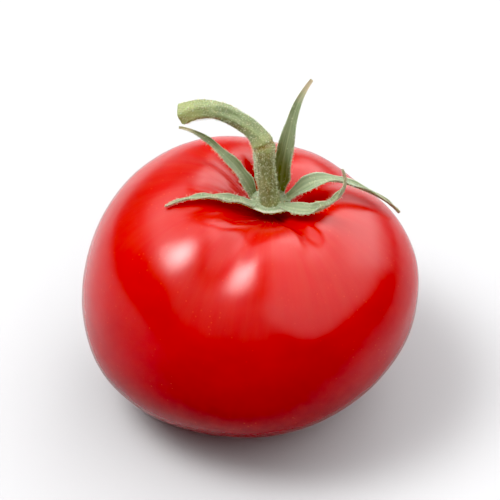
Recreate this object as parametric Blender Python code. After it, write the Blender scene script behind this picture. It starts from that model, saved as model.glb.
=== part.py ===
"""A large vine tomato as it is cut from its truss: the fruit, its six sepals and its stalk.

The fruit stands on the small flat spot at its blossom end. The origin is the middle of that spot,
+Z is up through the stalk, and -Y is the side that the sepal gap faces.
"""

from math import acos, cos, degrees, exp, pi, radians, sin, tan

import bmesh
import bpy
from mathutils import Vector
from mathutils.bvhtree import BVHTree

MM = 0.001
CLEARANCE = 0.35 * MM  # between any two pieces

# Fruit
FRUIT_WIDTH = 70.0 * MM  # across the belly, its widest ring
BELLY_HEIGHT = 26.0 * MM  # from the flat spot up to the belly
CROWN_RISE = 27.6 * MM  # from the belly to the top of the crown, if it had no hollow
SHOULDER_FULLNESS = 2.3  # superellipse exponent above the belly; 2 is an ellipse
BASE_FULLNESS = 2.12  # and below it
SHOULDER_TILT = 3.5 * MM  # how far the high shoulder stands above the middle, and the low one below
HIGH_SHOULDER = 187.0  # its azimuth
REST_RADIUS = 7.0 * MM  # of the flat spot
HOLLOW_DEPTH = 7.5 * MM  # of the stem hollow, below the crown
HOLLOW_RADIUS = 9.5 * MM
CROWN_SHIFT = Vector((6.4 * MM, 1.0 * MM, 0))  # how far the crown leans off the flat spot
SHIFT_DELAY = 1.3  # above 1, more of that shift comes above the belly
# How far the fruit is out of round: lobes to the turn, share of the radius, azimuth of a lobe.
LOBES = ((2, 0.009, 170.0), (3, 0.006, 205.0), (5, 0.006, 62.0))
# The creases between the lobes: azimuth, depth, half-width in degrees, and how far from the
# crown's centre each is deepest.
CREASES = (
    (-110.0, 2.2 * MM, 13.0, 19.5 * MM),
    (-136.0, 1.3 * MM, 13.0, 9.0 * MM),
    (-54.0, 1.2 * MM, 7.0, 10.0 * MM),
    (40.0, 2.8 * MM, 16.0, 21.0 * MM),
    (80.0, 2.0 * MM, 20.0, 19.0 * MM),
    (138.0, 1.2 * MM, 10.0, 13.0 * MM),
    (203.0, 1.5 * MM, 12.0, 15.0 * MM),
)
CREASE_ON_BELLY = 0.15  # share of its depth that a crease keeps at the belly
CREASE_SPREAD = 2.0  # how much wider a crease is where it fades out
CREASE_FADE = 0.6  # latitude in radians over which it fades out towards the belly
FRUIT_SEGMENTS = 72
FRUIT_RINGS = 34

# Stalk: a neck in the hollow, the receptacle that carries the sepals, then the stalk with its knuckle
NECK_RADIUS = 2.2 * MM
RECEPTACLE_RADIUS = 3.3 * MM
RECEPTACLE_THICKNESS = 1.2 * MM
STALK_RADIUS = 1.8 * MM
KNUCKLE_RADIUS = 2.3 * MM
KNUCKLE_HEIGHT = 13.4 * MM  # above the receptacle
CUT_END_RADIUS = 2.1 * MM  # where it widens into the truss
# The stalk's route above the receptacle, ending at the cut.
STALK_ROUTE = (
    Vector((0.0, 0.0, 0.0)),
    Vector((-0.4 * MM, 0.2 * MM, 3.3 * MM)),
    Vector((-0.8 * MM, 0.8 * MM, 8.4 * MM)),
    Vector((-1.3 * MM, 1.8 * MM, 13.2 * MM)),
    Vector((-3.4 * MM, 3.4 * MM, 15.9 * MM)),
    Vector((-6.2 * MM, 4.9 * MM, 17.5 * MM)),
    Vector((-9.6 * MM, 6.2 * MM, 18.5 * MM)),
    Vector((-13.7 * MM, 7.4 * MM, 18.1 * MM)),
    Vector((-17.8 * MM, 8.4 * MM, 16.2 * MM)),
)
ROUTE_STEPS = 7  # between each two points of the route

# Sepals
SEPAL_WIDTH = 4.4 * MM  # at its widest
WIDEST_AT = 0.18  # that is at this share of the length
SEPAL_TIP_WIDTH = 0.7 * MM
SEPAL_THICKNESS = 0.9 * MM
SEPAL_TIP_THICKNESS = 0.5 * MM
SEPAL_CUP = 0.30  # how far the margins curl up, as a share of the half width
SEPAL_STEPS = 18
# Its cross-section, from one margin over the upper face to the other, and back under the lower face:
# shares of the half width across, and of the thickness.
SEPAL_SECTION = (
    (-1.0, 0.0),
    (-0.5, 0.45),
    (0.0, 0.5),
    (0.5, 0.45),
    (1.0, 0.0),
    (0.5, -0.45),
    (0.0, -0.5),
    (-0.5, -0.45),
)
# Each sepal: azimuth at its base, degrees that it turns by its tip, length, and its pitch above the
# horizontal at its base, its middle and its tip.
SEPALS = {
    "sepal_front_right": (-30.0, 8.0, 22.8 * MM, (8.0, 50.0, 124.0)),
    "sepal_right": (13.0, -7.0, 28.6 * MM, (38.0, -32.0, -60.0)),
    "sepal_back_right": (56.0, -16.0, 26.0 * MM, (82.0, 73.0, 30.0)),
    "sepal_back": (103.0, -4.0, 15.0 * MM, (32.0, 18.0, 34.0)),
    "sepal_back_left": (150.0, 6.0, 21.6 * MM, (60.0, 35.0, -16.0)),
    "sepal_left": (196.0, -6.0, 19.2 * MM, (32.0, 8.0, -41.0)),
}


def remove_everything():
    for thing in list(bpy.data.objects):
        bpy.data.objects.remove(thing)


def material(name, colour, roughness):
    made = bpy.data.materials.new(name)
    made.use_nodes = True
    shader = made.node_tree.nodes["Principled BSDF"]
    shader.inputs["Base Color"].default_value = (*colour, 1.0)
    shader.inputs["Roughness"].default_value = roughness
    shader.inputs["Metallic"].default_value = 0.0
    return made


def mesh_object(name, rings, cap_start, cap_end, finish):
    """A skin over closed rings of points. A cap is a point for a fan, or None for one flat face."""
    shell = bmesh.new()
    loops = [[shell.verts.new(point) for point in ring] for ring in rings]
    for lower, upper in zip(loops, loops[1:]):
        for i in range(len(lower)):
            j = (i + 1) % len(lower)
            shell.faces.new((lower[i], lower[j], upper[j], upper[i]))
    for loop, cap in ((loops[0][::-1], cap_start), (loops[-1], cap_end)):
        if cap is None:
            shell.faces.new(loop)
            continue
        tip = shell.verts.new(cap)
        for i in range(len(loop)):
            shell.faces.new((loop[i], loop[(i + 1) % len(loop)], tip))
    bmesh.ops.recalc_face_normals(shell, faces=shell.faces)
    mesh = bpy.data.meshes.new(name)
    shell.to_mesh(mesh)
    shell.free()
    mesh.materials.append(finish)
    mesh.shade_smooth()
    mesh.set_sharp_from_angle(angle=radians(40))
    made = bpy.data.objects.new(name, mesh)
    bpy.context.scene.collection.objects.link(made)
    return made


def mix(a, b, share):
    return a + (b - a) * share


def ease(share):
    share = max(0.0, min(1.0, share))
    return share * share * (3 - 2 * share)


# The fruit


def lobe_factor(azimuth):
    """How far out of round the fruit is at this azimuth, as a factor on its radius."""
    return 1 + sum(
        share * cos(count * (azimuth - radians(at))) for count, share, at in LOBES
    )


def crease_depth(azimuth, from_crown, latitude):
    """How deep the creases are here. from_crown is the distance from the crown's centre."""
    over_belly = CREASE_ON_BELLY * cos(latitude) ** 2 * ease(1 + latitude / 1.3)
    depth = 0.0
    for at, deepest, half_width, reach in CREASES:
        away = (degrees(azimuth) - at + 180) % 360 - 180
        near = (from_crown / reach) ** 2
        near_crown = near * exp(1 - near) * ease(latitude / CREASE_FADE)
        spread = half_width * mix(CREASE_SPREAD, 1.0, near_crown)
        depth += deepest * exp(-((away / spread) ** 2)) * (near_crown + over_belly)
    return depth


def rest_latitude():
    """Where the skin meets the flat spot, as the superellipse's parameter."""
    return -acos((2 * REST_RADIUS / FRUIT_WIDTH) ** (BASE_FULLNESS / 2))


def fruit_point(azimuth, latitude):
    """A point of the skin. latitude runs from rest_latitude() through 0 at the belly to pi / 2."""
    fullness = SHOULDER_FULLNESS if latitude > 0 else BASE_FULLNESS
    out = FRUIT_WIDTH / 2 * cos(latitude) ** (2 / fullness)
    if latitude > 0:
        up = BELLY_HEIGHT + CROWN_RISE * sin(latitude) ** (2 / fullness)
        up += SHOULDER_TILT * sin(2 * latitude) * cos(azimuth - radians(HIGH_SHOULDER))
        up -= HOLLOW_DEPTH * exp(-((out / HOLLOW_RADIUS) ** 2))
    else:
        lowest = sin(-rest_latitude()) ** (2 / fullness)
        up = BELLY_HEIGHT * (1 - sin(-latitude) ** (2 / fullness) / lowest)
    crease = crease_depth(azimuth, out, latitude)
    steep = cos(latitude) ** 2  # 1 on the belly, where a crease goes inwards rather than down
    out = out * lobe_factor(azimuth) - crease * steep
    up -= crease * (1 - steep) if latitude > 0 else 0.0
    lean = ease((latitude - rest_latitude()) / (pi / 2 - rest_latitude())) ** SHIFT_DELAY
    centre = CROWN_SHIFT * lean
    return centre + Vector((out * cos(azimuth), out * sin(azimuth), up))


def fruit(finish):
    start = rest_latitude()
    rings = []
    for r in range(FRUIT_RINGS):
        latitude = mix(start, pi / 2, (r / FRUIT_RINGS) ** 0.95)
        azimuths = (2 * pi * s / FRUIT_SEGMENTS for s in range(FRUIT_SEGMENTS))
        rings.append([fruit_point(azimuth, latitude) for azimuth in azimuths])
    return mesh_object("fruit", rings, None, fruit_point(0.0, pi / 2), finish)


def skin_of(made):
    """A function that gives the height of the fruit's skin over a point."""
    mesh = made.data
    tree = BVHTree.FromPolygons(
        [v.co for v in mesh.vertices], [p.vertices[:] for p in mesh.polygons]
    )
    above = FRUIT_WIDTH + CROWN_RISE

    def height(x, y):
        hit = tree.ray_cast(Vector((x, y, above)), Vector((0, 0, -1)))[0]
        return hit.z if hit else 0.0

    return height


# The stalk


def smooth_route(points, steps):
    """A Catmull-Rom curve through the points."""
    ends = [2 * points[0] - points[1], *points, 2 * points[-1] - points[-2]]
    route = []
    for a, b, c, d in zip(ends, ends[1:], ends[2:], ends[3:]):
        for i in range(steps):
            t = i / steps
            route.append(
                0.5
                * (2 * b + (c - a) * t + (2 * a - 5 * b + 4 * c - d) * t**2 + (3 * b - a - 3 * c + d) * t**3)
            )
    return [*route, points[-1]]


def stalk_radius(along, length):
    """The stalk's radius at a distance above the receptacle."""
    flare = (RECEPTACLE_RADIUS - STALK_RADIUS) * exp(-((along / (1.6 * MM)) ** 2))
    knuckle = (KNUCKLE_RADIUS - STALK_RADIUS) * exp(-(((along - KNUCKLE_HEIGHT) / (2.0 * MM)) ** 2))
    to_cut = (CUT_END_RADIUS - STALK_RADIUS) * exp(-(((length - along) / (4.0 * MM)) ** 2))
    return STALK_RADIUS + flare + knuckle + to_cut


def stalk(seat, foot_height, finish):
    """seat is the middle of the receptacle's top, and foot_height is where the neck starts."""
    route = smooth_route([seat + point for point in STALK_ROUTE], ROUTE_STEPS)
    lengths = [0.0]
    for a, b in zip(route, route[1:]):
        lengths.append(lengths[-1] + (b - a).length)
    stem = [(p, stalk_radius(s, lengths[-1])) for p, s in zip(route, lengths)]
    under = Vector((0, 0, RECEPTACLE_THICKNESS))
    foot = Vector((seat.x, seat.y, foot_height))
    profile = [
        (foot, NECK_RADIUS * 0.85),
        (mix(foot, seat - under, 0.5), NECK_RADIUS),
        (seat - under, mix(NECK_RADIUS, RECEPTACLE_RADIUS, 0.55)),
        (seat - under * 0.5, RECEPTACLE_RADIUS * 0.97),
        *stem,
    ]
    curve = bpy.data.curves.new("stalk", "CURVE")
    curve.dimensions = "3D"
    curve.twist_mode = "MINIMUM"
    curve.bevel_depth = 1.0
    curve.bevel_resolution = 3
    curve.use_fill_caps = True
    spline = curve.splines.new("POLY")
    spline.points.add(len(profile) - 1)
    for point, (place, radius) in zip(spline.points, profile):
        point.co = (*place, 1.0)
        point.radius = radius
    curve.materials.append(finish)
    made = bpy.data.objects.new("stalk", curve)
    bpy.context.scene.collection.objects.link(made)
    return made


# The sepals


def sepal_base_width():
    """The width at the receptacle that leaves a clearance between the two closest sepals."""
    azimuths = sorted(shape[0] % 360 for shape in SEPALS.values())
    gaps = [(b - a) % 360 for a, b in zip(azimuths, azimuths[1:] + azimuths[:1])]
    half_gap = radians(min(gaps) / 2)
    room = (RECEPTACLE_RADIUS + CLEARANCE) * tan(half_gap)
    return 2 * room - CLEARANCE / cos(half_gap)


def sepal_width(share):
    """Full width at a share of the length: it swells from its base, then draws out to a point."""
    if share < WIDEST_AT:
        return mix(sepal_base_width(), SEPAL_WIDTH, ease(share / WIDEST_AT))
    return mix(SEPAL_WIDTH, SEPAL_TIP_WIDTH, ((share - WIDEST_AT) / (1 - WIDEST_AT)) ** 0.8)


def pitch_at(pitches, share):
    base, middle, tip = (radians(p) for p in pitches)
    if share < 0.5:
        return mix(base, middle, ease(share * 2))
    return mix(middle, tip, ((share - 0.5) * 2) ** 1.6)


def sepal_frames(seat, skin, azimuth, turn, length, pitches):
    """(place, along, across) down the sepal's middle, kept clear of the fruit's skin."""
    heading = radians(azimuth)
    out = Vector((cos(heading), sin(heading), 0))
    lean_in = SEPAL_THICKNESS / 2 * sin(radians(pitches[0]))  # of the upper face of a steep sepal
    place = seat + out * (RECEPTACLE_RADIUS + CLEARANCE + lean_in)
    step = length / SEPAL_STEPS
    places, across = [], []
    for i in range(SEPAL_STEPS + 1):
        share = i / SEPAL_STEPS
        heading = radians(azimuth + turn * share**1.5)
        out = Vector((cos(heading), sin(heading), 0))
        side = Vector((-sin(heading), cos(heading), 0))
        half = sepal_width(share) / 2
        thick = mix(SEPAL_THICKNESS, SEPAL_TIP_THICKNESS, share)
        under = max(skin(*(place + side * k * half).xy) for k in (-1, -0.5, 0, 0.5, 1))
        place.z = max(place.z, under + CLEARANCE + thick)
        places.append(place.copy())
        across.append(side)
        pitch = pitch_at(pitches, share)
        place += step * (out * cos(pitch) + Vector((0, 0, sin(pitch))))
    frames = []
    for i, (here, side) in enumerate(zip(places, across)):
        along = places[min(i + 1, SEPAL_STEPS)] - places[max(i - 1, 0)]
        frames.append((here, along.normalized(), side))
    return frames


def sepal(name, seat, skin, shape, finish):
    azimuth, turn, length, pitches = shape
    rings = []
    frames = sepal_frames(seat, skin, azimuth, turn, length, pitches)
    for i, (place, along, side) in enumerate(frames):
        share = i / SEPAL_STEPS
        half = sepal_width(share) / 2
        thick = mix(SEPAL_THICKNESS, SEPAL_TIP_THICKNESS, share)
        up = along.cross(side)
        ring = []
        for across, face in SEPAL_SECTION:
            rise = SEPAL_CUP * half * across**2 + face * thick
            ring.append(place + side * across * half + up * rise)
        rings.append(ring)
    return mesh_object(name, rings, None, None, finish)


def highest_around(skin, centre, radius):
    """The skin's highest point on a circle round the crown's centre."""
    turns = (radians(a) for a in range(0, 360, 10))
    return max(skin(centre.x + radius * cos(a), centre.y + radius * sin(a)) for a in turns)


def main():
    remove_everything()
    skin_red = material("skin_red", (0.56, 0.012, 0.012), 0.18)
    leaf_green = material("leaf_green", (0.13, 0.22, 0.055), 0.6)
    stalk_green = material("stalk_green", (0.20, 0.31, 0.085), 0.55)
    skin = skin_of(fruit(skin_red))
    crown = fruit_point(0.0, pi / 2)
    under_sepals = highest_around(skin, crown, RECEPTACLE_RADIUS + SEPAL_WIDTH / 2)
    seat = Vector((crown.x, crown.y, under_sepals + CLEARANCE + SEPAL_THICKNESS / 2))
    stalk(seat, highest_around(skin, crown, NECK_RADIUS) + CLEARANCE, stalk_green)
    for name, shape in SEPALS.items():
        sepal(name, seat, skin, shape, leaf_green)


main()
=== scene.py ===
"""The looks of a ripe vine tomato, as picked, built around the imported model.

Fine meshes replace the plain CAD solids: the fruit with its creases and stem hollow, the ridged
stalk with its knuckle and cut end, the curled sepals, the calyx rim that joins them, and their hairs.
"""

from math import acos, cos, exp, pi, radians, sin, tan

import bmesh
import bpy
import numpy as np
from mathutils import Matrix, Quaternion, Vector, noise
from mathutils.bvhtree import BVHTree


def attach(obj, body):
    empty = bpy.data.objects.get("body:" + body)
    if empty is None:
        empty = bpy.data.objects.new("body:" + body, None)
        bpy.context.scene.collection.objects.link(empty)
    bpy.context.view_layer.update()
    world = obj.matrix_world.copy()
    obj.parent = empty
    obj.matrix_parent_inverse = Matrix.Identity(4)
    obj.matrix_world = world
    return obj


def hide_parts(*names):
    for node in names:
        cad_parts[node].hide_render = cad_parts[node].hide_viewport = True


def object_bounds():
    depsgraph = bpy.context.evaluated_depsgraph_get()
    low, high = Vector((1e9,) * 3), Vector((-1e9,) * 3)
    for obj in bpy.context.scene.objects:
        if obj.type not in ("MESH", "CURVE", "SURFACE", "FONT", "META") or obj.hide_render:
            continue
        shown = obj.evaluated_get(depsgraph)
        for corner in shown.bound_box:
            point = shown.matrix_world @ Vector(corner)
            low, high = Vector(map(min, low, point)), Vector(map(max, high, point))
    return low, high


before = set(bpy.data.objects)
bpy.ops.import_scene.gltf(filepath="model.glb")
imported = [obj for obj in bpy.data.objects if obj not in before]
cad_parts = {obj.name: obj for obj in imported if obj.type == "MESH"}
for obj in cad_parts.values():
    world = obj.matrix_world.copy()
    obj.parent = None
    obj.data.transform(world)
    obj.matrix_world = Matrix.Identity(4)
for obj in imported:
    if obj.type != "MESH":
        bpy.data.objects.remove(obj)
cad_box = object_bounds()

MM = 0.001
rng = np.random.default_rng(7)


# ---------------------------------------------------------------- shared helpers


def mix(a, b, share):
    return a + (b - a) * share


def ease(share):
    share = min(max(share, 0.0), 1.0)
    return share * share * (3 - 2 * share)


def add_object(name, data):
    made = bpy.data.objects.new(name, data)
    bpy.context.scene.collection.objects.link(made)
    return made


def add_mesh(name, points, faces, finish):
    mesh = bpy.data.meshes.new(name)
    mesh.from_pydata(points, [], faces)
    mesh.update()
    mesh.shade_smooth()
    mesh.materials.append(finish)
    return add_object(name, mesh)


def grid_object(name, rings, attributes, finish, cap_start=None, cap_end=None):
    """A skin over closed rings of points, with a fan to a point at either end where one is given.

    attributes maps a name to one number for each point, ring by ring and then the caps.
    """
    rings = np.asarray(rings, float)
    count, around = rings.shape[:2]
    points = rings.reshape(-1, 3)
    index = np.arange(count * around).reshape(count, around)
    after = np.roll(index, -1, axis=1)
    faces = np.stack([index[:-1], after[:-1], after[1:], index[1:]], axis=-1).reshape(-1, 4).tolist()
    for cap, ring, last in ((cap_start, 0, False), (cap_end, -1, True)):
        if cap is None:
            continue
        points = np.vstack([points, np.asarray(cap, float)])
        tip = len(points) - 1
        for a, b in zip(index[ring].tolist(), after[ring].tolist()):
            faces.append((a, b, tip) if last else (b, a, tip))
    made = add_mesh(name, points.tolist(), faces, finish)
    for key, values in attributes.items():
        layer = made.data.attributes.new(key, "FLOAT", "POINT")
        layer.data.foreach_set("value", np.asarray(values, np.float32))
    return made


def rough(point, size, octaves=3):
    """Smooth noise from -1 to 1 whose lumps are about size across."""
    return noise.fractal(Vector(point) / size, 1.0, 2.0, octaves, noise_basis="PERLIN_ORIGINAL")


# ---------------------------------------------------------------- node helpers


class Nodes:
    """A node tree, with one short method for each kind of node used here."""

    def __init__(self, tree):
        self.tree = tree

    def put(self, socket, value):
        if isinstance(value, bpy.types.NodeSocket):
            self.tree.links.new(value, socket)
        elif value is not None:
            if socket.type == "RGBA" and len(value) == 3:
                value = (*value, 1.0)
            socket.default_value = value

    def node(self, kind, out=0, inputs=(), **settings):
        made = self.tree.nodes.new(kind)
        for key, value in settings.items():
            setattr(made, key, value)
        for key, value in dict(inputs).items():
            self.put(made.inputs[key], value)
        return made.outputs[out]

    def attribute(self, name):
        return self.node("ShaderNodeAttribute", 2, attribute_name=name)

    def place(self):
        return self.node("ShaderNodeTexCoord", 3)

    def split(self, vector):
        made = self.tree.nodes.new("ShaderNodeSeparateXYZ")
        self.put(made.inputs[0], vector)
        return made.outputs[0], made.outputs[1], made.outputs[2]

    def join(self, x, y, z):
        return self.node("ShaderNodeCombineXYZ", 0, {0: x, 1: y, 2: z})

    def math(self, operation, a, b=None, clamp=False):
        return self.node("ShaderNodeMath", 0, {0: a, 1: b}, operation=operation, use_clamp=clamp)

    def distance(self, x, y):
        return self.math("SQRT", self.math("ADD", self.math("MULTIPLY", x, x), self.math("MULTIPLY", y, y)))

    def shifted(self, value, by, reach):
        """value, moved down or up by as much as half of reach while by runs from 0 to 1."""
        return self.math("ADD", value, self.math("MULTIPLY", self.math("SUBTRACT", by, 0.5), reach))

    def ramp(self, value, low, high, to_low=0.0, to_high=1.0):
        inputs = {"Value": value, "From Min": low, "From Max": high, "To Min": to_low, "To Max": to_high}
        return self.node("ShaderNodeMapRange", 0, inputs, interpolation_type="SMOOTHSTEP")

    def lumps(self, vector, size, detail=2.0, roughness=0.5):
        """Noise from 0 to 1 whose lumps are about size across, in the units of vector."""
        inputs = {"Vector": vector, "Scale": 1 / size, "Detail": detail, "Roughness": roughness}
        return self.node("ShaderNodeTexNoise", 0, inputs)

    def specks(self, vector, spacing):
        """Distance to the nearest of many scattered dots, as a share of their spacing."""
        inputs = {"Vector": vector, "Scale": 1 / spacing}
        return self.node("ShaderNodeTexVoronoi", 0, inputs)

    def blend(self, share, a, b):
        """The colour a where share is 0, and b where it is 1."""
        made = self.tree.nodes.new("ShaderNodeMix")
        made.data_type = "RGBA"
        self.put(made.inputs[0], share)
        self.put(made.inputs[6], a)
        self.put(made.inputs[7], b)
        return made.outputs[2]

    def bump(self, height, depth, strength=1.0, under=None):
        inputs = {"Height": height, "Distance": depth, "Strength": strength, "Normal": under}
        return self.node("ShaderNodeBump", 0, inputs)


class Shader(Nodes):
    """A material of one Principled shader."""

    def __init__(self, name, **plain):
        self.material = bpy.data.materials.new(name)
        self.material.use_nodes = True
        super().__init__(self.material.node_tree)
        self.main = self.tree.nodes["Principled BSDF"]
        for key, value in plain.items():
            self.main.inputs[key.replace("_", " ")].default_value = value

    def finish(self, **links):
        for key, value in links.items():
            self.put(self.main.inputs[key.replace("_", " ")], value)
        return self.material


# ---------------------------------------------------------------- the fruit's form

# The fruit's form as part.py gives it, in metres.
FRUIT_WIDTH = 70.0 * MM
BELLY_HEIGHT = 26.0 * MM
CROWN_RISE = 27.6 * MM
SHOULDER_FULLNESS = 2.3
BASE_FULLNESS = 2.12
SHOULDER_TILT = 3.5 * MM
HIGH_SHOULDER = radians(187.0)
REST_RADIUS = 7.0 * MM
HOLLOW_DEPTH = 7.5 * MM
HOLLOW_RADIUS = 9.5 * MM
CROWN_SHIFT = np.array([6.4 * MM, 1.0 * MM])
SHIFT_DELAY = 1.3
# Each kind of lobe: how many round the fruit, how far they stand out as a share, and one's azimuth.
LOBES = ((2, 0.009, 170.0), (3, 0.006, 205.0), (5, 0.006, 62.0))
# Each crease: its azimuth, depth and half width, and how far from the crown's centre it is deepest.
CREASES = (
    (-110.0, 2.2 * MM, 13.0, 19.5 * MM),
    (-136.0, 1.3 * MM, 13.0, 9.0 * MM),
    (-54.0, 1.2 * MM, 7.0, 10.0 * MM),
    (40.0, 2.8 * MM, 16.0, 21.0 * MM),
    (80.0, 2.0 * MM, 20.0, 19.0 * MM),
    (138.0, 1.2 * MM, 10.0, 13.0 * MM),
    (203.0, 1.5 * MM, 12.0, 15.0 * MM),
)
CREASE_ON_BELLY = 0.15
CREASE_SPREAD = 2.0
CREASE_FADE = 0.6

# What only the eye needs.
FRUIT_SEGMENTS = 360
FRUIT_RINGS = 240
RING_CROWDING = 0.95  # below 1, the rings lie closer towards the crown
BASE_RINGS = 12  # across the flat spot
SWELL = 0.32 * MM  # slow unevenness of the skin
SWELL_SIZE = 21.0 * MM
SWELL_START = 5.0 * MM  # from the crown's centre
SWELL_FADE = 9.0 * MM  # over this far it grows in from the stem, and from the table
PUCKER = 0.09 * MM  # fine radial wrinkles round the stem
PUCKER_PLACE = 3.5 * MM  # where they are deepest
PUCKER_REACH = 8.0 * MM
PUCKER_LENGTH = 14.0 * MM
PUCKER_TURNS = 9.0  # larger for more of them
SCAR_RADIUS = 1.1 * MM  # of the blossom scar in the flat spot
SCAR_DEPTH = 0.45 * MM


def smooth(share):
    share = np.clip(share, 0.0, 1.0)
    return share * share * (3 - 2 * share)


def rest_latitude():
    return -acos((2 * REST_RADIUS / FRUIT_WIDTH) ** (BASE_FULLNESS / 2))


def crease_depth(azimuth, out, latitude):
    over_belly = CREASE_ON_BELLY * np.cos(latitude) ** 2 * smooth(1 + latitude / 1.3)
    depth = 0.0
    for at, deepest, half_width, reach in CREASES:
        away = (np.degrees(azimuth) - at + 180) % 360 - 180
        near = (out / reach) ** 2
        near_crown = near * np.exp(1 - near) * smooth(latitude / CREASE_FADE)
        spread = half_width * mix(CREASE_SPREAD, 1.0, near_crown)
        depth = depth + deepest * np.exp(-((away / spread) ** 2)) * (near_crown + over_belly)
    return depth


def fruit_surface(azimuth, latitude):
    """Points of the skin as part.py shapes it, and each point's distance from the crown's centre."""
    upper = latitude > 0
    fullness = np.where(upper, SHOULDER_FULLNESS, BASE_FULLNESS)
    out = FRUIT_WIDTH / 2 * np.clip(np.cos(latitude), 0, 1) ** (2 / fullness)
    rise = np.abs(np.sin(latitude)) ** (2 / fullness)
    lowest = sin(-rest_latitude()) ** (2 / BASE_FULLNESS)
    tilt = SHOULDER_TILT * np.sin(2 * latitude) * np.cos(azimuth - HIGH_SHOULDER)
    hollow = HOLLOW_DEPTH * np.exp(-((out / HOLLOW_RADIUS) ** 2))
    up = np.where(
        upper, BELLY_HEIGHT + CROWN_RISE * rise + tilt - hollow, BELLY_HEIGHT * (1 - rise / lowest)
    )
    crease = crease_depth(azimuth, out, latitude)
    steep = np.cos(latitude) ** 2
    lobed = 1 + sum(share * np.cos(n * (azimuth - radians(at))) for n, share, at in LOBES)
    wide = out * lobed - crease * steep
    up = up - np.where(upper, crease * (1 - steep), 0.0)
    lean = smooth((latitude - rest_latitude()) / (pi / 2 - rest_latitude())) ** SHIFT_DELAY
    x = wide * np.cos(azimuth) + CROWN_SHIFT[0] * lean
    y = wide * np.sin(azimuth) + CROWN_SHIFT[1] * lean
    return np.stack([x, y, up], axis=-1), out


def uneven(places, out, azimuth, latitude):
    """How far the skin stands proud of its plain form: slow swells, and puckers round the stem."""
    swell = np.array([rough(p, SWELL_SIZE, 2) for p in places])
    swell = swell * SWELL * smooth(places[:, 2] / SWELL_FADE) * smooth((out - SWELL_START) / SWELL_FADE)
    around = [PUCKER_TURNS * np.cos(azimuth), PUCKER_TURNS * np.sin(azimuth)]
    along = np.stack([*around, out / PUCKER_LENGTH], axis=-1)
    pucker = np.array([rough(p, 1.0, 3) for p in along])
    near = np.exp(-(((out - PUCKER_PLACE) / PUCKER_REACH) ** 2)) * smooth(out / (3 * MM))
    return swell + pucker * PUCKER * near * (latitude > 0)


def make_fruit(finish):
    start = rest_latitude()
    share = np.arange(FRUIT_RINGS) / FRUIT_RINGS
    latitudes = mix(start, pi / 2, share**RING_CROWDING)
    azimuths = 2 * pi * np.arange(FRUIT_SEGMENTS) / FRUIT_SEGMENTS
    latitude, azimuth = (a.ravel() for a in np.meshgrid(latitudes, azimuths, indexing="ij"))
    places, out = fruit_surface(azimuth, latitude)
    shape = (FRUIT_RINGS, FRUIT_SEGMENTS, 3)
    grid = places.reshape(shape)
    normal = np.cross(np.roll(grid, -1, 1) - np.roll(grid, 1, 1), np.gradient(grid, axis=0))
    normal /= np.linalg.norm(normal, axis=-1, keepdims=True)
    grid = grid + normal * uneven(places, out, azimuth, latitude).reshape(*shape[:2], 1)
    foot = []
    for r in range(1, BASE_RINGS):
        inward = 1 - r / BASE_RINGS
        ring = grid[0] * inward
        ring[:, 2] = SCAR_DEPTH * exp(-((inward * REST_RADIUS / SCAR_RADIUS) ** 2))
        foot.append(ring)
    rings = np.concatenate([np.array(foot[::-1]), grid])
    crown, _ = fruit_surface(np.zeros(1), np.full(1, pi / 2))
    return grid_object("fruit_skin", rings, {}, finish, (0, 0, SCAR_DEPTH), crown[0])


# ---------------------------------------------------------------- where the CAD puts the calyx

CLEARANCE = 0.35 * MM
RECEPTACLE_RADIUS = 3.3 * MM
STALK_RADIUS = 1.8 * MM
KNUCKLE_RADIUS = 2.3 * MM
KNUCKLE_HEIGHT = 13.4 * MM
CUT_END_RADIUS = 2.1 * MM
STALK_ROUTE = (
    Vector((0.0, 0.0, 0.0)),
    Vector((-0.4 * MM, 0.2 * MM, 3.3 * MM)),
    Vector((-0.8 * MM, 0.8 * MM, 8.4 * MM)),
    Vector((-1.3 * MM, 1.8 * MM, 13.2 * MM)),
    Vector((-3.4 * MM, 3.4 * MM, 15.9 * MM)),
    Vector((-6.2 * MM, 4.9 * MM, 17.5 * MM)),
    Vector((-9.6 * MM, 6.2 * MM, 18.5 * MM)),
    Vector((-13.7 * MM, 7.4 * MM, 18.1 * MM)),
    Vector((-17.8 * MM, 8.4 * MM, 16.2 * MM)),
)
SEPAL_WIDTH = 4.4 * MM
WIDEST_AT = 0.18
SEPAL_TIP_WIDTH = 0.7 * MM
SEPAL_THICKNESS = 0.9 * MM
SEPAL_TIP_THICKNESS = 0.5 * MM
SEPAL_STEPS = 18
SEPAL_TAPER = 0.8  # below 1, the blade narrows sooner
TURN_GROWTH = 1.5  # above 1, a sepal turns and twists mostly towards its tip
TIP_PITCH_GROWTH = 1.6
ABOVE_ALL = 0.2  # a height in metres, for rays that look down
# Each sepal: azimuth, turn by its tip, length and pitches, as in part.py; then how far it twists by
# its tip in degrees, how tightly its margins roll in, in radians at its base and its tip, and how
# broad its blade is beside part.py's.
SEPALS = {
    "sepal_front_right": (-30.0, 8.0, 22.8 * MM, (8.0, 50.0, 124.0), 30.0, (0.5, 1.4), 1.0),
    "sepal_right": (13.0, -7.0, 28.6 * MM, (38.0, -32.0, -60.0), -24.0, (0.5, 1.3), 0.95),
    "sepal_back_right": (56.0, -16.0, 26.0 * MM, (82.0, 73.0, 30.0), 24.0, (0.35, 0.9), 1.22),
    "sepal_back": (103.0, -4.0, 15.0 * MM, (32.0, 18.0, 34.0), 20.0, (0.4, 1.0), 0.9),
    "sepal_back_left": (150.0, 6.0, 21.6 * MM, (60.0, 35.0, -16.0), -30.0, (0.5, 1.4), 0.9),
    "sepal_left": (196.0, -6.0, 19.2 * MM, (32.0, 8.0, -41.0), 20.0, (0.4, 1.2), 0.72),
}


def surface_of(made):
    made.data.calc_loop_triangles()
    points = [v.co.copy() for v in made.data.vertices]
    return BVHTree.FromPolygons(points, [t.vertices[:] for t in made.data.loop_triangles])


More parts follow.
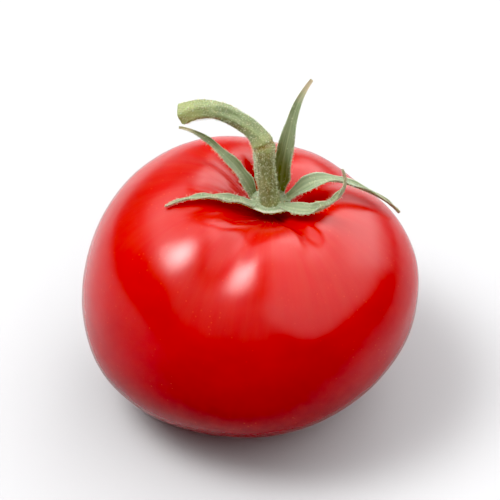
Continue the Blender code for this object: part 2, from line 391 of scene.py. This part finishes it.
def height_over(tree, x, y):
    hit = tree.ray_cast(Vector((x, y, ABOVE_ALL)), Vector((0, 0, -1)))[0]
    return hit.z if hit else 0.0


def highest_around(tree, centre, radius):
    turns = (radians(a) for a in range(0, 360, 10))
    return max(height_over(tree, centre.x + radius * cos(a), centre.y + radius * sin(a)) for a in turns)


def crown_seat(tree):
    """The middle of the receptacle's top, which the stalk and the sepals are placed from."""
    centre = Vector((*CROWN_SHIFT, 0))
    under = highest_around(tree, centre, RECEPTACLE_RADIUS + SEPAL_WIDTH / 2)
    return Vector((centre.x, centre.y, under + CLEARANCE + SEPAL_THICKNESS / 2))


def sepal_half_width(share):
    azimuths = sorted(shape[0] % 360 for shape in SEPALS.values())
    gaps = [(b - a) % 360 for a, b in zip(azimuths, azimuths[1:] + azimuths[:1])]
    half_gap = radians(min(gaps) / 2)
    base = (RECEPTACLE_RADIUS + CLEARANCE) * tan(half_gap) - CLEARANCE / 2 / cos(half_gap)
    if share < WIDEST_AT:
        return mix(base, SEPAL_WIDTH / 2, ease(share / WIDEST_AT))
    tapered = ((share - WIDEST_AT) / (1 - WIDEST_AT)) ** SEPAL_TAPER
    return mix(SEPAL_WIDTH, SEPAL_TIP_WIDTH, tapered) / 2


def pitch_at(pitches, share):
    base, middle, tip = (radians(p) for p in pitches)
    if share < 0.5:
        return mix(base, middle, ease(share * 2))
    return mix(middle, tip, ((share - 0.5) * 2) ** TIP_PITCH_GROWTH)


def sepal_route(seat, tree, shape):
    """The points down the sepal's middle where the CAD puts them, clear of the fruit's skin."""
    azimuth, turn, length, pitches = shape[:4]
    heading = radians(azimuth)
    out = Vector((cos(heading), sin(heading), 0))
    place = seat + out * (RECEPTACLE_RADIUS + CLEARANCE + SEPAL_THICKNESS / 2 * sin(radians(pitches[0])))
    route = []
    for i in range(SEPAL_STEPS + 1):
        share = i / SEPAL_STEPS
        heading = radians(azimuth + turn * share**TURN_GROWTH)
        out = Vector((cos(heading), sin(heading), 0))
        side = Vector((-sin(heading), cos(heading), 0))
        half = sepal_half_width(share)
        thick = mix(SEPAL_THICKNESS, SEPAL_TIP_THICKNESS, share)
        under = max(height_over(tree, *(place + side * k * half).xy) for k in (-1, -0.5, 0, 0.5, 1))
        place.z = max(place.z, under + CLEARANCE + thick)
        route.append(place.copy())
        pitch = pitch_at(pitches, share)
        place += length / SEPAL_STEPS * (out * cos(pitch) + Vector((0, 0, sin(pitch))))
    return route


def smooth_route(points, steps):
    """A Catmull-Rom curve through the points."""
    ends = [2 * points[0] - points[1], *points, 2 * points[-1] - points[-2]]
    route = []
    for a, b, c, d in zip(ends, ends[1:], ends[2:], ends[3:]):
        for i in range(steps):
            t = i / steps
            bent = (2 * a - 5 * b + 4 * c - d) * t**2 + (3 * b - a - 3 * c + d) * t**3
            route.append(0.5 * (2 * b + (c - a) * t + bent))
    return [*route, points[-1]]


def distances(route):
    lengths = [0.0]
    for a, b in zip(route, route[1:]):
        lengths.append(lengths[-1] + (b - a).length)
    return lengths


def frames_along(route, first_side):
    """(along, side, up) at each point, carried down the route without turning about it."""
    frames = []
    side = first_side
    for i in range(len(route)):
        along = (route[min(i + 1, len(route) - 1)] - route[max(i - 1, 0)]).normalized()
        side = (side - along * side.dot(along)).normalized()
        frames.append((along, side, along.cross(side)))
    return frames


# ---------------------------------------------------------------- sepals

SEPAL_FINE_STEPS = 5  # between each two points of the CAD's route
SEPAL_ACROSS = 13  # points from margin to margin
LEAF_THICKNESS = 0.42 * MM
MARGIN_THICKNESS = 0.10 * MM
MIDRIB = 0.34 * MM  # how far the midrib stands out below
VEIN_GROOVE = 0.12 * MM
RUFFLE = 0.34 * MM
RUFFLE_WAVES = 3.2  # down each margin
LEAD_STEPS = 6  # from the calyx rim to where the CAD's sepal starts
NARROW_STEPS = 3  # the blade starts at NARROW_STEPS / (LEAD_STEPS + NARROW_STEPS) of its breadth


def make_sepal(name, number, seat, tree, finish):
    shape = SEPALS[name]
    azimuth, twist, rolls, broad = radians(shape[0]), radians(shape[4]), shape[5], shape[6]
    route = smooth_route(sepal_route(seat, tree, shape), SEPAL_FINE_STEPS)
    # The base tucks into the calyx rim.
    inner = seat + Vector((cos(azimuth), sin(azimuth), 0)) * (STALK_RADIUS + 0.2 * MM)
    inner.z = seat.z - 0.1 * MM
    route = [inner.lerp(route[0], k / LEAD_STEPS) for k in range(LEAD_STEPS)] + route
    frames = frames_along(route, Vector((-sin(azimuth), cos(azimuth), 0)))
    count = len(route) - 1
    rings, along_values, across_values, face_values = [], [], [], []
    lanes = np.linspace(-1, 1, SEPAL_ACROSS)
    for i, (place, (along, side, up)) in enumerate(zip(route, frames)):
        share = max(0.0, (i - LEAD_STEPS) / (count - LEAD_STEPS))
        tuck = min(1.0, (i + NARROW_STEPS) / (LEAD_STEPS + NARROW_STEPS))
        half = sepal_half_width(share) * tuck * mix(1.0, broad, ease(share * 4))
        half *= 1 + 0.10 * rough((share * 5, number * 3.1, 0.4), 1.0, 2)
        wobble = 0.16 * rough((share * 3, number, 0), 1.0, 2)
        turn = Quaternion(along, twist * share**TURN_GROWTH + wobble)
        side, up = turn @ side, turn @ up
        roll = mix(rolls[0], rolls[1], share**1.2)
        radius = half / roll
        thin = 1 - 0.55 * ease(share)
        ring, face = [], []
        for lane, lower in [(a, False) for a in lanes] + [(a, True) for a in lanes[-2:0:-1]]:
            wave = sin(2 * pi * (RUFFLE_WAVES * share + 0.31 * number + 0.2 * lane))
            ruffle = RUFFLE * thin * abs(lane) ** 2.2 * wave * ease(share * 4)
            angle = lane * roll
            sideways = radius * sin(angle)
            rise = radius * (1 - cos(angle)) + ruffle
            leaf = thin * (MARGIN_THICKNESS + LEAF_THICKNESS * (1 - lane * lane) ** 0.6) / 2
            if lower:
                rise -= leaf + thin * MIDRIB * exp(-((lane / 0.16) ** 2))
            else:
                rise += leaf - thin * VEIN_GROOVE * exp(-((lane / 0.12) ** 2))
                rise -= thin * VEIN_GROOVE * 0.4 * exp(-(((abs(lane) - 0.5) / 0.1) ** 2))
            ring.append(place + side * sideways + up * rise)
            along_values.append(share)
            across_values.append(lane)
            face_values.append(0.0 if lower else 1.0)
        rings.append(ring)
    ends = [sum(ring, Vector()) / len(ring) for ring in (rings[0], rings[-1])]
    for share in (0.0, 1.0):
        along_values.append(share)
        across_values.append(0.0)
        face_values.append(0.5)
    values = {"along": along_values, "across": across_values, "upper": face_values}
    made = grid_object(f"{name}_leaf", rings, values, finish, ends[0], ends[1])
    fix_normals(made)
    return made


def fix_normals(made):
    shell = bmesh.new()
    shell.from_mesh(made.data)
    bmesh.ops.recalc_face_normals(shell, faces=shell.faces)
    shell.to_mesh(made.data)
    shell.free()


# ---------------------------------------------------------------- stalk and calyx rim

STALK_AROUND = 56
STALK_FINE_STEPS = 26
RIDGES = 5
RIDGE_HEIGHT = 0.13 * MM
RIDGE_TWIST = 14  # RIDGES times the angle that they wind round the stalk, in radians
RIDGE_START = 3 * MM
STALK_GRAIN = 0.10 * MM
STALK_LUMPS = 0.12 * MM
STALK_LEAD = 0.6 * MM  # how far below the seat, inside the calyx rim, the stalk starts
STALK_LEAD_STEPS = 3
FLARE = 0.5 * MM  # at the stalk's foot
FLARE_LENGTH = 2.2 * MM
KNUCKLE_LENGTH = 2.0 * MM
SEAM_DEPTH = 0.26 * MM  # of the groove round the knuckle
SEAM_LENGTH = 0.32 * MM
SEAM_RISE = 0.3 * MM  # above the knuckle's middle
CUT_FLARE_LENGTH = 4.0 * MM
# The cut face: a rim, then a slightly sunken pith. Each ring's share of the radius, and how far it
# lies behind the stalk's end, in millimetres.
CUT_FACE = ((0.97, -0.06), (0.88, -0.02), (0.74, 0.10), (0.60, 0.16), (0.40, 0.22), (0.2, 0.26))
PITH_SINK = 0.28
RIM_AROUND = 144
RIM_RADIUS = 3.6 * MM
RIM_LOBE = 1.0 * MM  # how far it runs out under each sepal
RIM_LOBE_SHARPNESS = 14
RIM_WAVE = 0.22 * MM
RIM_DROOP = 0.25 * MM
RIM_HALF_HEIGHT = 0.8 * MM
RIM_CLEARANCE = 0.1 * MM
# Each ring of the rim: its share of the radius, and its height over the seat in millimetres.
RIM_PROFILE = (
    (0.35, 0.75),
    (0.55, 0.45),
    (0.75, 0.25),
    (0.9, 0.2),
    (0.985, 0.16),
    (1.0, 0.03),
    (0.985, -0.1),
    (0.85, -0.28),
    (0.65, -0.5),
    (0.45, -0.7),
)


def stalk_radius(along, length):
    flare = FLARE * exp(-((along / FLARE_LENGTH) ** 2))
    knuckle = (KNUCKLE_RADIUS - STALK_RADIUS) * exp(-(((along - KNUCKLE_HEIGHT) / KNUCKLE_LENGTH) ** 2))
    seam = SEAM_DEPTH * exp(-(((along - KNUCKLE_HEIGHT - SEAM_RISE) / SEAM_LENGTH) ** 2))
    to_cut = (CUT_END_RADIUS - STALK_RADIUS) * exp(-(((length - along) / CUT_FLARE_LENGTH) ** 2))
    return STALK_RADIUS + flare + knuckle - seam + to_cut


def make_stalk(seat, finish):
    route = smooth_route([seat + point for point in STALK_ROUTE], STALK_FINE_STEPS)
    lengths = distances(route)
    frames = frames_along(route, Vector((1, 0, 0)))
    rings, along_values, around_values, core_values = [], [], [], []
    turns = [2 * pi * k / STALK_AROUND for k in range(STALK_AROUND)]

    def add_ring(place, side, up, along, scale, core):
        ring = []
        radius = stalk_radius(along, lengths[-1])
        ridged = 1 - exp(-along / RIDGE_START)
        for turn in turns:
            ridge = RIDGE_HEIGHT * cos(RIDGES * turn + RIDGE_TWIST * along / lengths[-1]) * ridged
            grain = STALK_GRAIN * rough((3 * cos(turn), 3 * sin(turn), along / (6 * MM)), 1.0, 3)
            lump = STALK_LUMPS * rough((cos(turn), sin(turn), along / (4 * MM)), 1.0, 2)
            reach = (radius + ridge + grain + lump) * scale
            ring.append(place + side * cos(turn) * reach + up * sin(turn) * reach)
            along_values.append(along / MM)
            around_values.append(turn)
            core_values.append(core)
        rings.append(ring)

    under = seat - Vector((0, 0, STALK_LEAD))
    for k in range(STALK_LEAD_STEPS):
        place = under.lerp(route[0], k / STALK_LEAD_STEPS)
        add_ring(place, frames[0][1], frames[0][2], 0.0, 1.0, 1.0)
    for place, (along, side, up), length in zip(route, frames, lengths):
        add_ring(place, side, up, length, 1.0, 1.0)
    along, side, up = frames[-1]
    for scale, sink in CUT_FACE:
        add_ring(route[-1] - along * sink * MM, side, up, lengths[-1], scale, scale)
    for length, core in ((0.0, 1.0), (lengths[-1] / MM, 0.0)):
        along_values.append(length)
        around_values.append(0.0)
        core_values.append(core)
    values = {"along": along_values, "around": around_values, "core": core_values}
    made = grid_object("stalk_skin", rings, values, finish, under, route[-1] - along * PITH_SINK * MM)
    fix_normals(made)
    return made


def make_rim(seat, tree, finish):
    """The calyx tube's rim: a thin scalloped saucer that the sepals grow from."""
    azimuths = [radians(shape[0]) for shape in SEPALS.values()]
    rings, across_values = [], []

    def reach(turn):
        lobe = max(cos((turn - a + pi) % (2 * pi) - pi) for a in azimuths)
        return RIM_RADIUS + RIM_LOBE * max(0.0, lobe) ** RIM_LOBE_SHARPNESS

    for share, lift in RIM_PROFILE:
        ring = []
        for k in range(RIM_AROUND):
            turn = 2 * pi * k / RIM_AROUND
            far = reach(turn) * share
            x, y = seat.x + far * cos(turn), seat.y + far * sin(turn)
            wave = RIM_WAVE * share**3 * rough((2 * cos(turn), 2 * sin(turn), 1.7), 1.0, 2)
            z = seat.z + lift * MM + wave - RIM_DROOP * share**2
            ring.append((x, y, max(z, height_over(tree, x, y) + RIM_CLEARANCE)))
            across_values.append(share)
        rings.append(ring)
    across_values += [0.0, 0.0]
    count = len(across_values)
    values = {"along": [0.06] * count, "across": across_values, "upper": [0.8] * count}
    top = seat + Vector((0, 0, RIM_HALF_HEIGHT))
    bottom = seat - Vector((0, 0, RIM_HALF_HEIGHT))
    made = grid_object("calyx_rim", rings, values, finish, top, bottom)
    fix_normals(made)
    return made


# ---------------------------------------------------------------- hairs

HAIR_RADIUS = 0.034 * MM  # at its root
HAIR_SPREAD = 0.35  # of the random part of the way that a hair leans and bends
HAIR_SINK = 0.03 * MM
SEPAL_HAIRS = 420  # on each sepal
RIM_HAIRS = 240
SEPAL_HAIR_LENGTHS = (0.25 * MM, 0.75 * MM)
STALK_HAIRS = 2600
STALK_HAIR_LENGTHS = (0.25 * MM, 0.8 * MM)
# The faces of one hair: three points round its root, three round its middle, and its tip.
HAIR_FACES = ((0, 1, 4, 3), (1, 2, 5, 4), (2, 0, 3, 5), (3, 4, 6), (4, 5, 6), (5, 3, 6), (2, 1, 0))


def scatter(made, count, weight=None):
    """Random points on a mesh and the normals there. weight(values) favours some of its faces."""
    mesh = made.data
    mesh.calc_loop_triangles()
    triangles = np.array([t.vertices[:] for t in mesh.loop_triangles])
    points = np.array([v.co[:] for v in mesh.vertices])
    a, b, c = (points[triangles[:, k]] for k in range(3))
    normals = np.cross(b - a, c - a)
    area = np.linalg.norm(normals, axis=1)
    keep = area > 1e-14
    chance = np.where(keep, area, 0.0)
    if weight:
        chance = chance * weight(mesh, triangles)
    picked = rng.choice(len(triangles), count, p=chance / chance.sum())
    u, v = rng.random((2, count))
    flip = u + v > 1
    u[flip], v[flip] = 1 - u[flip], 1 - v[flip]
    spots = a[picked] + (b - a)[picked] * u[:, None] + (c - a)[picked] * v[:, None]
    return spots, normals[picked] / area[picked][:, None]


def values_of(mesh, name):
    values = np.zeros(len(mesh.vertices), np.float32)
    mesh.attributes[name].data.foreach_get("value", values)
    return values


def margins_first(mesh, triangles):
    across = np.abs(values_of(mesh, "across"))[triangles].mean(axis=1)
    lower = 1 - values_of(mesh, "upper")[triangles].mean(axis=1)
    return 0.15 + 3.5 * np.clip((across - 0.8) / 0.2, 0, 1) + 0.5 * lower


def make_hairs(name, sources, finish, lengths):
    """Fine bent cones. sources holds (spots, normals) for each piece that they grow on."""
    spots = np.vstack([s for s, _ in sources])
    normals = np.vstack([n for _, n in sources])
    count = len(spots)
    tall = rng.uniform(*lengths, count)[:, None]
    direction = normals + rng.normal(0, HAIR_SPREAD, (count, 3))
    direction /= np.linalg.norm(direction, axis=1, keepdims=True)
    droop = direction + rng.normal(0, HAIR_SPREAD, (count, 3))
    droop /= np.linalg.norm(droop, axis=1, keepdims=True)
    side = np.cross(direction, rng.normal(size=(count, 3)))
    side /= np.linalg.norm(side, axis=1, keepdims=True)
    other = np.cross(direction, side)
    middle = spots + direction * tall * 0.5
    tip = middle + droop * tall * 0.5
    points = []
    for centre, radius in ((spots - normals * HAIR_SINK, HAIR_RADIUS), (middle, HAIR_RADIUS * 0.7)):
        for k in range(3):
            turn = 2 * pi * k / 3
            points.append(centre + radius * (side * cos(turn) + other * sin(turn)))
    points = np.stack([*points, tip], axis=1).reshape(-1, 3)
    faces = [tuple(7 * h + k for k in face) for h in range(count) for face in HAIR_FACES]
    return add_mesh(name, points.tolist(), faces, finish)


# ---------------------------------------------------------------- materials

# The pale down on the sepals and the stalk, where it is finer than the hairs.
DOWN = {"Sheen_Weight": 0.25, "Sheen_Roughness": 0.5, "Sheen_Tint": (0.9, 0.95, 0.8, 1.0)}


def skin_material():
    s = Shader(
        "tomato_skin",
        Subsurface_Weight=0.22,
        Subsurface_Radius=(1.0, 0.16, 0.08),
        Subsurface_Scale=3.5 * MM,
        IOR=1.45,
    )
    place = s.place()
    x, y, z = s.split(place)
    out_x = s.math("SUBTRACT", x, float(CROWN_SHIFT[0]))
    out_y = s.math("SUBTRACT", y, float(CROWN_SHIFT[1]))
    out = s.distance(out_x, out_y)
    safe = s.math("MAXIMUM", out, 0.2 * MM)
    # Streaks run from the stem down the meridians.
    turn_x, turn_y = s.math("DIVIDE", out_x, safe), s.math("DIVIDE", out_y, safe)
    meridian = s.join(turn_x, turn_y, s.math("MULTIPLY", z, 9.0))
    streaks = s.lumps(meridian, 0.09, 4.0, 0.65)
    shoulder = s.ramp(z, 26 * MM, 54 * MM)
    cloud = s.lumps(place, 16 * MM, 3.0, 0.55)
    fine = s.lumps(place, 2.2 * MM, 4.0, 0.6)

    colour = s.blend(s.ramp(cloud, 0.3, 0.7), (0.305, 0.011, 0.014), (0.355, 0.014, 0.017))
    # Painted light: the skin turns warmer and more orange towards the top, standing in for the glow of the
    # light from above; the streaks in it are the skin's own.
    warm = s.math("MULTIPLY", shoulder, s.ramp(streaks, 0.25, 0.8, 0.25, 0.6))
    colour = s.blend(warm, colour, (0.35, 0.040, 0.027))
    # Painted shade: the skin darkens towards the bottom, where little light reaches it; part of it is a
    # deeper red of the skin itself.
    colour = s.blend(s.ramp(z, 3 * MM, 36 * MM, 1.0, 0.0), colour, (0.12, 0.007, 0.009))
    mottle = s.ramp(fine, 0.35, 0.7, 0.0, 0.22)
    colour = s.blend(mottle, colour, (0.375, 0.022, 0.016))
    dots = s.ramp(s.specks(place, 1.2 * MM), 0.05, 0.2, 1.0, 0.0)
    dots = s.math("MULTIPLY", dots, s.ramp(s.lumps(place, 6 * MM, 2.0), 0.42, 0.62, 0.0, 0.42))
    colour = s.blend(dots, colour, (0.55, 0.07, 0.03))
    # The corky ring at the stem, and the blossom scar below.
    cork = s.ramp(s.shifted(out, streaks, 7 * MM), 2.6 * MM, 4.4 * MM, 1.0, 0.0)
    cork = s.math("MULTIPLY", cork, s.ramp(z, 30 * MM, 35 * MM))
    colour = s.blend(cork, colour, (0.20, 0.05, 0.022))
    scar = s.ramp(s.shifted(s.distance(x, y), fine, 1.6 * MM), 0.9 * MM, 1.7 * MM, 1.0, 0.0)
    scar = s.math("MULTIPLY", scar, s.ramp(z, 2 * MM, 4 * MM, 1.0, 0.0))
    colour = s.blend(scar, colour, (0.22, 0.10, 0.035))

    gloss = s.ramp(s.lumps(place, 9 * MM, 3.0), 0.3, 0.7, 0.22, 0.262)
    gloss = s.math("ADD", gloss, s.math("MULTIPLY", s.math("ADD", cork, scar), 0.35), clamp=True)
    peel = s.bump(s.lumps(place, 1.3 * MM, 2.0, 0.5), 0.02 * MM, 0.35)
    peel = s.bump(s.lumps(place, 5.0 * MM, 2.0, 0.5), 0.06 * MM, 0.5, peel)
    peel = s.bump(dots, 0.015 * MM, 0.6, peel)
    return s.finish(Base_Color=colour, Roughness=gloss, Normal=peel)


def leaf_material():
    s = Shader(
        "sepal_leaf",
        Subsurface_Weight=0.12,
        Subsurface_Radius=(0.5, 1.0, 0.2),
        Subsurface_Scale=0.5 * MM,
        IOR=1.4,
        **DOWN,
    )
    along, across, upper = (s.attribute(n) for n in ("along", "across", "upper"))
    far = s.math("ABSOLUTE", across)
    place = s.place()
    stretched = s.join(s.math("MULTIPLY", across, 5.0), s.math("MULTIPLY", along, 2.2), 0.0)
    grain = s.lumps(stretched, 0.6, 4.0, 0.6)
    blotch = s.lumps(place, 2.6 * MM, 3.0, 0.6)
    cells = s.lumps(place, 0.35 * MM, 2.0, 0.6)
    colour = s.blend(s.ramp(grain, 0.3, 0.7), (0.115, 0.160, 0.090), (0.185, 0.225, 0.135))
    colour = s.blend(s.ramp(blotch, 0.45, 0.75, 0.0, 0.5), colour, (0.235, 0.265, 0.17))
    below = s.math("SUBTRACT", 1.0, upper, clamp=True)
    colour = s.blend(s.math("MULTIPLY", below, 0.55), colour, (0.24, 0.275, 0.185))
    rib = s.ramp(far, 0.03, 0.15, 1.0, 0.0)
    side_ribs = s.ramp(s.math("ABSOLUTE", s.math("SUBTRACT", far, 0.5)), 0.02, 0.08, 0.6, 0.0)
    ribs = s.math("MAXIMUM", rib, side_ribs)
    colour = s.blend(s.math("MULTIPLY", ribs, 0.55), colour, (0.27, 0.30, 0.18))
    edge = s.ramp(far, 0.80, 1.0, 0.0, 0.8)
    colour = s.blend(edge, colour, (0.40, 0.43, 0.32))
    dry = s.ramp(s.shifted(along, blotch, 0.35), 0.74, 0.98, 0.0, 0.9)
    colour = s.blend(dry, colour, (0.30, 0.24, 0.16))
    veins = s.bump(ribs, 0.05 * MM, 0.6)
    veins = s.bump(grain, 0.10 * MM, 0.7, veins)
    veins = s.bump(cells, 0.05 * MM, 0.6, veins)
    gloss = s.ramp(cells, 0.3, 0.7, 0.52, 0.68)
    return s.finish(Base_Color=colour, Roughness=gloss, Normal=veins)


def stalk_material():
    s = Shader(
        "stalk_skin",
        Subsurface_Weight=0.15,
        Subsurface_Radius=(0.6, 1.0, 0.3),
        Subsurface_Scale=0.9 * MM,
        IOR=1.42,
        **DOWN,
    )
    along, around, core = (s.attribute(n) for n in ("along", "around", "core"))
    cosine, sine = s.math("COSINE", around), s.math("SINE", around)
    fibre = s.lumps(s.join(cosine, sine, s.math("MULTIPLY", along, 0.05)), 0.16, 4.0, 0.65)
    place = s.place()
    blotch = s.lumps(place, 3.5 * MM, 3.0, 0.6)
    cells = s.lumps(place, 0.3 * MM, 2.0, 0.6)
    colour = s.blend(s.ramp(fibre, 0.3, 0.7), (0.108, 0.142, 0.070), (0.172, 0.208, 0.110))
    colour = s.blend(s.ramp(blotch, 0.45, 0.7, 0.0, 0.55), colour, (0.225, 0.255, 0.12))
    # The knuckle's seam is yellower and a little brown, and so is the last stretch to the truss.
    knuckle = s.math("ABSOLUTE", s.math("SUBTRACT", along, (KNUCKLE_HEIGHT + SEAM_RISE) / MM))
    seam = s.ramp(knuckle, 0.15, 0.6, 0.75, 0.0)
    colour = s.blend(s.ramp(knuckle, 0.8, 3.2, 0.45, 0.0), colour, (0.25, 0.26, 0.11))
    colour = s.blend(seam, colour, (0.16, 0.13, 0.045))
    colour = s.blend(s.ramp(along, 24.0, 33.0, 0.0, 0.6), colour, (0.26, 0.28, 0.11))
    # The cut: a green rind, the vessels' darker ring, and a pale pith.
    face = s.ramp(core, 0.95, 0.985, 1.0, 0.0)
    ringed = s.blend(s.ramp(core, 0.5, 0.7), (0.56, 0.62, 0.34), (0.20, 0.29, 0.09))
    ringed = s.blend(s.ramp(core, 0.78, 0.9), ringed, (0.36, 0.42, 0.17))
    ringed = s.blend(s.ramp(cells, 0.5, 0.75, 0.0, 0.6), ringed, (0.48, 0.40, 0.20))
    colour = s.blend(face, colour, ringed)
    fur = s.bump(fibre, 0.14 * MM, 0.8)
    fur = s.bump(cells, 0.05 * MM, 0.7, fur)
    gloss = s.ramp(cells, 0.3, 0.7, 0.48, 0.64)
    return s.finish(Base_Color=colour, Roughness=gloss, Normal=fur)


def hair_material():
    s = Shader("hair", IOR=1.4, Roughness=0.45, Subsurface_Weight=0.3, Subsurface_Scale=0.1 * MM)
    pale = s.blend(s.lumps(s.place(), 1.5 * MM, 2.0), (0.52, 0.58, 0.36), (0.74, 0.74, 0.58))
    return s.finish(Base_Color=pale)


def floor_material():
    s = Shader("floor_white", Roughness=1.0, Specular_IOR_Level=0.0)
    cloud = s.lumps(s.place(), 120 * MM, 2.0)
    return s.finish(Base_Color=s.blend(cloud, (0.385, 0.385, 0.39), (0.415, 0.415, 0.42)))


# ---------------------------------------------------------------- stage, lights and camera

ELEVATION = radians(42.0)
LENS = 200.0
VIEW_WIDTH = 104 * MM  # what the camera takes in at the tomato
FLOOR_REACH = 4.0
WORLD_COLOUR = (0.97, 0.98, 1.0, 1.0)
WORLD_STRENGTH = 0.27
BLACK_LEVEL = (0.045, 0.065, 0.065)
EVEN_FADES = (0.3, 0.3, 0.3, 0.3)
# Each panel: its name, the way to it from the tomato's middle, how many times as far as that it
# stands, the way it faces (None: straight back), its size, its radiance, and its fades.
PANELS = (
    # the bright key high on the left, and the wide soft glow round it
    ("key", (-0.49, -0.05, 0.87), 0.9, None, (0.80, 0.72), 23.0, (0.5, 0.5, 0.5, 0.5)),
    ("halo", (-0.49, -0.05, 0.87), 1.1, None, (1.7, 1.5), 1.3, (0.5, 0.5, 0.5, 0.5)),
    # the haze that lies over the right flank and the shoulder
    (
        "panel_right",
        (0.50, -0.25, 0.915),
        1.0,
        (-0.7071, 0.0, -0.7071),
        (3.7, 1.6),
        1.9,
        (0.30, 0.05, 0.04, 0.42),
    ),
    # weaker ones behind, in front and above
    ("panel_back", (0.58, 0.69, 0.42), 1.2, None, (1.7, 1.05), 1.7, (0.2, 0.2, 0.35, 0.2)),
    ("front_fill", (-0.25, -0.80, 0.55), 1.4, None, (2.2, 1.8), 0.9, EVEN_FADES),
    ("overhead", (-0.2, 0.7, 1.15), 1.0, (0.1, -0.3, -1.0), (2.2, 1.8), 1.7, EVEN_FADES),
)


def make_floor():
    far = FLOOR_REACH
    corners = [(-far, -far, 0), (far, -far, 0), (far, far, 0), (-far, far, 0)]
    made = add_mesh("floor", corners, [(0, 1, 2, 3)], floor_material())


def area_light(name, place, facing, size, radiance, fades):
    """A panel that shines one way. fades: what share dims out to its left, right, lower and upper edge."""
    lamp = bpy.data.lights.new(name, "AREA")
    lamp.shape = "RECTANGLE"
    lamp.size, lamp.size_y = size
    lamp.energy = radiance * pi * size[0] * size[1]
    lamp.use_nodes = True
    n = Nodes(lamp.node_tree)
    across, up, _ = n.split(n.node("ShaderNodeNewGeometry", 5))
    bright = 1.0
    for spot, start, end in ((across, *fades[:2]), (up, *fades[2:])):
        bright = n.math("MULTIPLY", n.ramp(spot, 0.0, start, 0.0, 1.0), bright)
        bright = n.math("MULTIPLY", n.ramp(spot, 1.0 - end, 1.0, 1.0, 0.0), bright)
    n.put(lamp.node_tree.nodes["Emission"].inputs["Strength"], bright)
    made = add_object(name, lamp)
    made.location = place
    made.rotation_euler = Vector(facing).to_track_quat("-Z", "Y").to_euler()


def make_lights(middle):
    """A dim even world, and the panels round the tomato."""
    world = bpy.data.worlds.new("studio")
    world.use_nodes = True
    world.node_tree.nodes["Background"].inputs["Color"].default_value = WORLD_COLOUR
    world.node_tree.nodes["Background"].inputs["Strength"].default_value = WORLD_STRENGTH
    bpy.context.scene.world = world
    for name, away, distance, facing, size, radiance, fades in PANELS:
        away = Vector(away)
        area_light(name, middle + away * distance, facing or -away, size, radiance, fades)


def set_exposure():
    view = bpy.context.scene.view_settings
    view.view_transform = "Standard"
    view.use_curve_mapping = True
    view.curve_mapping.black_level = BLACK_LEVEL
    view.curve_mapping.update()


def make_camera(low, high):
    middle = (Vector(low) + Vector(high)) / 2
    data = bpy.data.cameras.new("camera")
    data.lens = LENS
    data.clip_start = 0.01
    made = add_object("camera", data)
    away = VIEW_WIDTH * LENS / data.sensor_width
    made.location = middle + Vector((0, -cos(ELEVATION), sin(ELEVATION))) * away
    made.rotation_euler = (middle - made.location).to_track_quat("-Z", "Y").to_euler()
    bpy.context.scene.camera = made
    return middle


# ---------------------------------------------------------------- the tomato


def main():
    set_exposure()
    middle = make_camera(*cad_box)
    make_lights(middle)
    make_floor()

    tree = surface_of(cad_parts["fruit"])
    seat = crown_seat(tree)
    leaf, skin, bark, fur = leaf_material(), skin_material(), stalk_material(), hair_material()

    fruit = make_fruit(skin)
    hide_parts("fruit")
    stalk = make_stalk(seat, bark)
    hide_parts("stalk")
    rim = make_rim(seat, tree, leaf)
    grown = []
    for number, name in enumerate(SEPALS):
        sepal = make_sepal(name, number, seat, tree, leaf)
        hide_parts(name)
        grown.append(sepal)
    sources = [scatter(sepal, SEPAL_HAIRS, margins_first) for sepal in grown]
    sources.append(scatter(rim, RIM_HAIRS, margins_first))
    leaf_hairs = make_hairs("sepal_hairs", sources, fur, SEPAL_HAIR_LENGTHS)
    sources = [scatter(stalk, STALK_HAIRS)]
    stalk_hairs = make_hairs("stalk_hairs", sources, fur, STALK_HAIR_LENGTHS)
    for piece in (fruit, stalk, rim, *grown, leaf_hairs, stalk_hairs):
        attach(piece, "root")


main()
